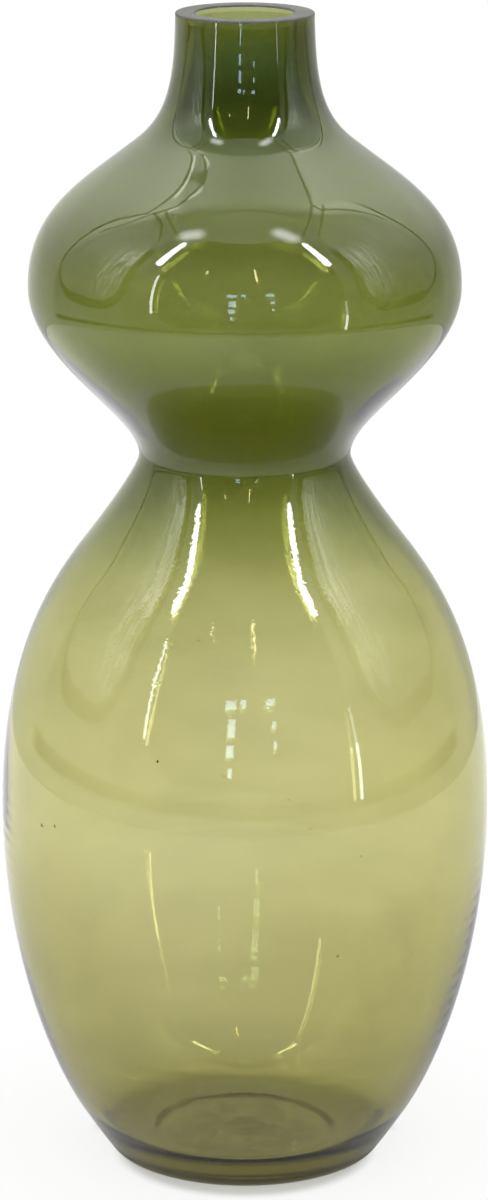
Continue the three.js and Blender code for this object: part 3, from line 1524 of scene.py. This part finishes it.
@dataclass(frozen=True)
class TentCloth:
    """The bare cloth of the tent: its sides, and behind an arch its rear, less bright in the crown.

    Fades are in shares of the tent's radius.
    """

    side: Cloth = Cloth(
        ((-20, 0.85), (5, 0.53), (25, 0.8), (40, 1.4), (50, 1.4), (60, 1.25), (74, 1.1), (90, 1.6))
    )
    rear: Cloth = Cloth(
        ((-20, 0.86), (10, 0.92), (30, 1.5), (50, 2.6), (66, 4.0), (74, 4.2), (82, 3.8), (90, 3.4))
    )
    side_tint: Colour = (1.0, 1.03, 1.04)
    rear_tint: Colour = (1.0, 1.03, 0.94)
    arch_place: float = 0.43
    arch_lean: float = 0.46
    arch_shift: float = 0.13
    arch_right: Fade = Fade(0.35, 0.65)
    arch_step: Fade = Fade(-0.04, 0.04)
    crown_side: Fade = Fade(0.32, 0.37)
    crown_rise: Fade = Fade(0.6, 0.8)
    crown_dim: float = 0.3

    def behind(self, at: TentPlace) -> Value:
        """1 behind the arch, else 0."""
        shift = self.arch_right.up(at.x) * self.arch_shift
        return self.arch_step.up(at.y + at.z * at.z * self.arch_lean - self.arch_place - shift)

    def light(self, graph: Graph, at: TentPlace, behind: Value) -> Value:
        """The light of the cloth.

        Args:
            graph: The tent's graph.
            at: The place on the tent.
            behind: 1 behind the arch, else 0.

        Returns:
            The level.
        """
        crown = self.crown_side.down(abs(at.x)) * self.crown_rise.up(at.z)
        side = self.side.light(graph, at.up)
        rear = self.rear.light(graph, at.up) * (1 - crown * self.crown_dim)
        return side + behind * (rear - side)

    def tint(self, graph: Graph, behind: Value) -> Socket:
        """The colour of the cloth."""
        return graph.mixed(behind, opaque(self.side_tint), opaque(self.rear_tint))


@dataclass(frozen=True)
class TentShades:
    """What is dim on the tent: its low right side, the posts of its opening and its floor line.

    Fades are in degrees, but for that of the right side, which is in shares of the radius.
    """

    right_side: Fade = Fade(0.0, 0.4)
    right_top: Fade = Fade(6.0, 26.0)
    right_turn: Fade = Fade(95.0, 120.0)
    right_rear: float = 0.5
    right_dim: float = 0.45
    post_turn: Fade = Fade(60.0, 66.0)
    post_top: Fade = Fade(55.0, 62.0)
    post_foot: Fade = Fade(-16.0, -12.0)
    post_dim: float = 0.4
    line_up: float = -13.0
    line_edge: Fade = Fade(1.1, 2.1)
    line_turn: Fade = Fade(112.0, 120.0)
    line_dim: float = 0.9

    def light(self, at: TentPlace) -> Value:
        """How they change the light.

        Args:
            at: The place on the tent.

        Returns:
            A factor, 1 away from them.
        """
        turn = abs(at.around)
        right = self.right_side.up(at.x) * self.right_top.down(at.up)
        right = right * (1 - self.right_turn.up(at.around) * self.right_rear)
        post = self.post_turn.down(turn) * self.post_top.down(at.up) * self.post_foot.up(at.up)
        line = self.line_edge.down(abs(at.up - self.line_up)) * self.line_turn.down(turn)
        kept = (1 - right * self.right_dim) * (1 - post * self.post_dim)
        return kept * (1 - line * self.line_dim)


@dataclass(frozen=True)
class Curtains:
    """The two curtains of the tent, with their folds, creases and dark hems.

    Fades are in degrees, but for that of a crease, which is in steps of the folds' noise.
    """

    left: Patch = Patch(-114.0, -64.0, 1.0, 61.0, 17.0)
    right: Patch = Patch(62.5, 121.5, 0.5, 66.0, 18.0)
    edge: Fade = Fade(-2.0, 0.0)
    folds: Cloud = Cloud((0.5, 0.05, 0.0), 3.0)
    fold_level: float = 0.2
    fold_depth: float = 0.8
    crease: Fade = Fade(0.012, 0.05)
    crease_turn: Fade = Fade(76.0, 92.0)
    crease_foot: Fade = Fade(4.0, 12.0)
    crease_top: Fade = Fade(40.0, 52.0)
    crease_gain: float = 2.4
    hem_half: float = 2.6
    hem_taper: float = 2.0
    hem_turn: Fade = Fade(100.0, 110.0)
    hem_edge: Fade = Fade(-0.5, 0.5)
    hem_top: Fade = Fade(46.0, 54.0)
    hem_dim: float = 0.9

    def light(self, graph: Graph, at: TentPlace) -> Value:
        """How they change the light.

        Args:
            graph: The tent's graph.
            at: The place on the tent.

        Returns:
            A factor, 1 away from the curtains.
        """
        turn = abs(at.around)
        folds = self.folds.over(graph, graph.vector(at.around, at.up, 0.0)) - 0.5
        creased = self.crease_turn.down(turn) * self.crease_foot.up(at.up)
        wrinkles = self.crease.down(abs(folds)) * creased * self.crease_top.down(at.up)
        relief = self.fold_level + folds * self.fold_depth + wrinkles * self.crease_gain
        left = self.left.distance(at.around, at.up)
        right = self.right.distance(at.around, at.up)
        inside = self.edge.down(left.least(right))
        half_hem = self.hem_half - self.hem_turn.up(turn) * self.hem_taper
        from_hem = abs(left).least(abs(right)) - half_hem
        hem = self.hem_edge.down(from_hem) * self.hem_top.down(at.up)
        return (1 + inside * relief) * (1 - hem * self.hem_dim)


@dataclass
class Tent:
    """A dome of white cloth round the vase, which shows in mirrored rays alone.

    Strips lie by degrees round and up, those of the roof in hundredths of the radius.
    """

    name: str = "tent"
    radius: float = 0.80
    middle: float = 0.25
    rows: int = 24
    steps: int = 64
    cloth: TentCloth = TentCloth()
    shades: TentShades = TentShades()
    curtains: Curtains = Curtains()
    opening: Patch = Patch(-47.5, 52.0, -8.0, 66.0, 18.0)
    opening_edge: Fade = Fade(-0.8, 0.8)
    roof_rise: Fade = Fade(0.3, 0.4)
    roof_unit: float = 100.0
    seams: tuple[Seam, ...] = (
        Seam(
            (
                (-72, 34), (-50, 15), (-38, 17), (-34, 18), (-24, 10), (-30, 10),
                (-37, 8), (-43, 10), (-54, 14), (-64, 18), (-72, 25),
            )
        ),
        Seam(((35, 14), (33, 17), (36, 9), (41, 9), (60, 31), (65, 35))),
        Seam(((36, 8), (36, -10), (35, -27))),
        Seam(((41, 13), (44, -17))),
        Seam(((-47, 12), (-46, -3), (-52, -19))),
        Seam(((-42, 7), (-41, -10), (-40, -26))),
        Seam(((-42, 7), (-30, -8), (-17, -7), (15, -6), (31, -5), (36, 8)), 0.7, 0.5, 0.3),
    )
    roof_strips: tuple[Strip, ...] = (
        Strip(Line((-35, -23), (-30, -24)), 4.5, 4.4, 9.0),
        Strip(Line((22, -25), (29, -28)), 4.5, 4.4, 9.0),
        Strip(Line((-36.5, 15.0), (-33, 16.5)), 0.8, 0.4, 5.0),
        Strip(Line((-25, 9), (-30, 9)), 0.8, 0.4, 4.0),
        Strip(Line((-36, 7), (-40, 8)), 0.8, 0.4, 3.0),
    )
    strips: tuple[Strip, ...] = (
        Strip(Line((-52.5, 42.0), (-50.5, 58.5)), 2.4, 0.5, 30.0),
        Strip(Line((51.0, 42.0), (49.5, 58.5)), 2.4, 0.5, 30.0),
        Strip(Line((-47.3, 2.0), (-48.0, 31.0)), 0.7, 0.3, 13.0),
        Strip(Line((52.5, -12.5), (52.5, -1.0)), 0.8, 0.3, 12.0),
        Strip(Line((52.3, -1.0), (51.8, 9.0)), 0.7, 0.4, 4.0),
    )
    warm_strips: tuple[Strip, ...] = (
        Strip(Line((6.5, 33.0), (5.8, 43.0)), 0.6, 0.3, 14.0),
        Strip(Line((-22.0, 38.5), (-21.6, 40.5)), 0.6, 0.3, 10.0),
    )
    warm_tint: Colour = (1.2, 1.0, 0.5)

    def place(self, graph: Graph) -> TentPlace:
        """The place on the tent, for its graph.

        Args:
            graph: The tent's graph.

        Returns:
            The place.
        """
        x, y, z = (part / self.radius for part in graph.axes(graph.object_place()))
        around = graph.math("ARCTAN2", x, -y) * math.degrees(1)
        up = graph.math("ARCSINE", z.most(-1.0).least(1.0)) * math.degrees(1)
        return TentPlace(x, y, z, around, up)

    def light(self, graph: Graph) -> tuple[Socket, Value]:
        """What the inside of the tent looks like.

        Args:
            graph: The tent's graph.

        Returns:
            The colour of its light, and 1 where it is closed, 0 in its front opening.
        """
        at = self.place(graph)
        behind = self.cloth.behind(at)
        level = self.cloth.light(graph, at, behind) * self.shades.light(at)
        level = level * self.curtains.light(graph, at)
        across, back = at.x * self.roof_unit, at.y * self.roof_unit
        roof = self.roof_rise.up(at.z)
        for seam in self.seams:
            level = level * (1 - seam.shade(across, back) * roof)
        closed = self.opening_edge.up(self.opening.distance(at.around, at.up))
        lamps = [strip.light(at.around, at.up) for strip in self.strips]
        lamps += [strip.light(across, back) * roof for strip in self.roof_strips]
        for lit in lamps:
            level = level + lit
            closed = closed.most(lit.least(1.0))
        colour = graph.mixed(1.0, graph.grey(level), self.cloth.tint(graph, behind), "MULTIPLY")
        for strip in self.warm_strips:
            lit = strip.light(at.around, at.up)
            warm = graph.vector(*(lit * part for part in self.warm_tint))
            colour = graph.mixed(1.0, colour, warm, "ADD")
            closed = closed.most(lit.least(1.0))
        return colour, closed

    def build(self) -> bpy.types.Object:
        """The dome, from the floor up.

        Returns:
            The object.
        """
        start = math.asin(-self.middle / self.radius)
        up = np.linspace(start, math.pi / 2, self.rows, endpoint=False)
        dome = turned(self.radius * np.cos(up)[:, None], self.radius * np.sin(up), self.steps)
        vertices = np.concatenate((dome, [(0.0, 0.0, self.radius)]))
        last = len(dome) - self.steps
        faces = ring_bands(self.rows, self.steps)
        faces += [(last + j, last + (j + 1) % self.steps, len(dome)) for j in range(self.steps)]
        tent = add_piece(self.name, vertices, faces, False)
        tent.location.z = self.middle
        material, graph = stage_material("tent_cloth")
        end_with_mirrored_light(graph, *self.light(graph))
        tent.data.materials.append(material)
        return tent


@dataclass(frozen=True)
class Pane:
    """A small window across the room: degrees round and up from the tent's middle, and sizes."""

    around: float
    up: float
    width: float
    height: float


@dataclass
class FarWindows:
    """Small far windows that face the vase through the tent's opening."""

    middle: float
    name: str = "far_windows"
    radius: float = 1.4
    level: float = 7.5
    tint: Colour = (0.62, 0.88, 1.15)
    panes: tuple[Pane, ...] = (
        Pane(-7.0, 18.0, 5.2, 2.6),
        Pane(-0.8, 18.5, 2.4, 2.4),
        Pane(13.0, 18.5, 4.6, 2.4),
        Pane(-6.5, 11.0, 3.6, 5.2),
        Pane(-7.0, 4.6, 3.4, 3.4),
        Pane(-6.8, -1.0, 1.8, 2.4),
        Pane(14.0, 12.0, 2.0, 2.4),
        Pane(14.0, 6.0, 1.4, 2.2),
    )

    def _corner(self, pane: Pane, side: int, rise: int) -> Triple:
        """A corner of a pane.

        Args:
            pane: The pane.
            side: -1 for its left side, 1 for its right.
            rise: -1 for its foot, 1 for its top.

        Returns:
            The place of the corner.
        """
        around = math.radians(pane.around + side * pane.width / 2)
        up = math.radians(pane.up + rise * pane.height / 2)
        flat = self.radius * math.cos(up)
        height = self.middle + self.radius * math.sin(up)
        return (flat * math.sin(around), -flat * math.cos(around), height)

    def build(self) -> bpy.types.Object:
        """All the panes as one object.

        Returns:
            The object.
        """
        corners = ((-1, -1), (1, -1), (1, 1), (-1, 1))
        vertices = [self._corner(pane, *corner) for pane in self.panes for corner in corners]
        faces = [tuple(range(first, first + 4)) for first in range(0, len(vertices), 4)]
        panes = add_piece(self.name, np.array(vertices), faces, False)
        material, graph = stage_material("window_light")
        colour = tuple(part * self.level for part in self.tint)
        end_with_mirrored_light(graph, opaque(colour), 1.0)
        panes.data.materials.append(material)
        return panes


@dataclass
class Studio:
    """The pale floor, the soft white tent, the even light of the room and the camera."""

    room_colour: Colour = (0.05, 0.065, 0.10)
    camera_place: Triple = (-0.0003, -1.5136, 0.6104)
    camera_pitch: float = 15.272
    lens: float = 136.7
    sensor: float = 36.0

    def build_world(self) -> None:
        """Even white light from all round; only mirrored rays see the dim room."""
        world = bpy.data.worlds.new("white_room")
        world.use_nodes = True
        world.cycles.sampling_method = "NONE"
        graph = Graph(world.node_tree)
        colour = graph.mixed(mirrored(graph), opaque(WHITE), opaque(self.room_colour))
        light = graph.node("ShaderNodeBackground", inputs={"Color": colour, "Strength": 1.0})
        graph.output("ShaderNodeOutputWorld", Surface=light.outputs[0])
        bpy.context.scene.world = world

    def build_camera(self) -> None:
        """The camera, a little above the vase and looking down at it."""
        data = bpy.data.cameras.new("camera")
        data.lens = self.lens
        data.sensor_width = self.sensor
        camera = bpy.data.objects.new("camera", data)
        camera.location = self.camera_place
        camera.rotation_euler = Euler((math.radians(90 - self.camera_pitch), 0.0, 0.0))
        bpy.context.scene.collection.objects.link(camera)
        bpy.context.scene.camera = camera

    def set_view(self) -> None:
        """Colours as they are written, and paths long enough for thick glass."""
        scene = bpy.context.scene
        scene.view_settings.view_transform = "Standard"
        cycles = scene.cycles
        cycles.max_bounces = 32
        cycles.transmission_bounces = 32
        cycles.glossy_bounces = 16
        cycles.transparent_max_bounces = 32
        cycles.sample_clamp_indirect = 0.0
        cycles.use_denoising = True
        cycles.denoising_input_passes = "RGB"

    def build(self) -> None:
        """The whole studio."""
        self.build_world()
        tent = Tent()
        PaleFloor().build()
        tent.build()
        FarWindows(tent.middle).build()
        self.build_camera()
        self.set_view()


def main() -> None:
    """Builds the vase and the studio round it."""
    logging.basicConfig(level=logging.INFO, format="%(name)s: %(message)s")
    vase = VaseGlass()
    for part in (vase, GreenOverlay(vase)):
        piece = part.build()
        part.dress(piece)
        log.info("%s: %d faces", piece.name, len(piece.data.polygons))
    Studio().build()
    log.info("studio: floor, tent, windows and camera")


if __name__ == "__main__":
    main()
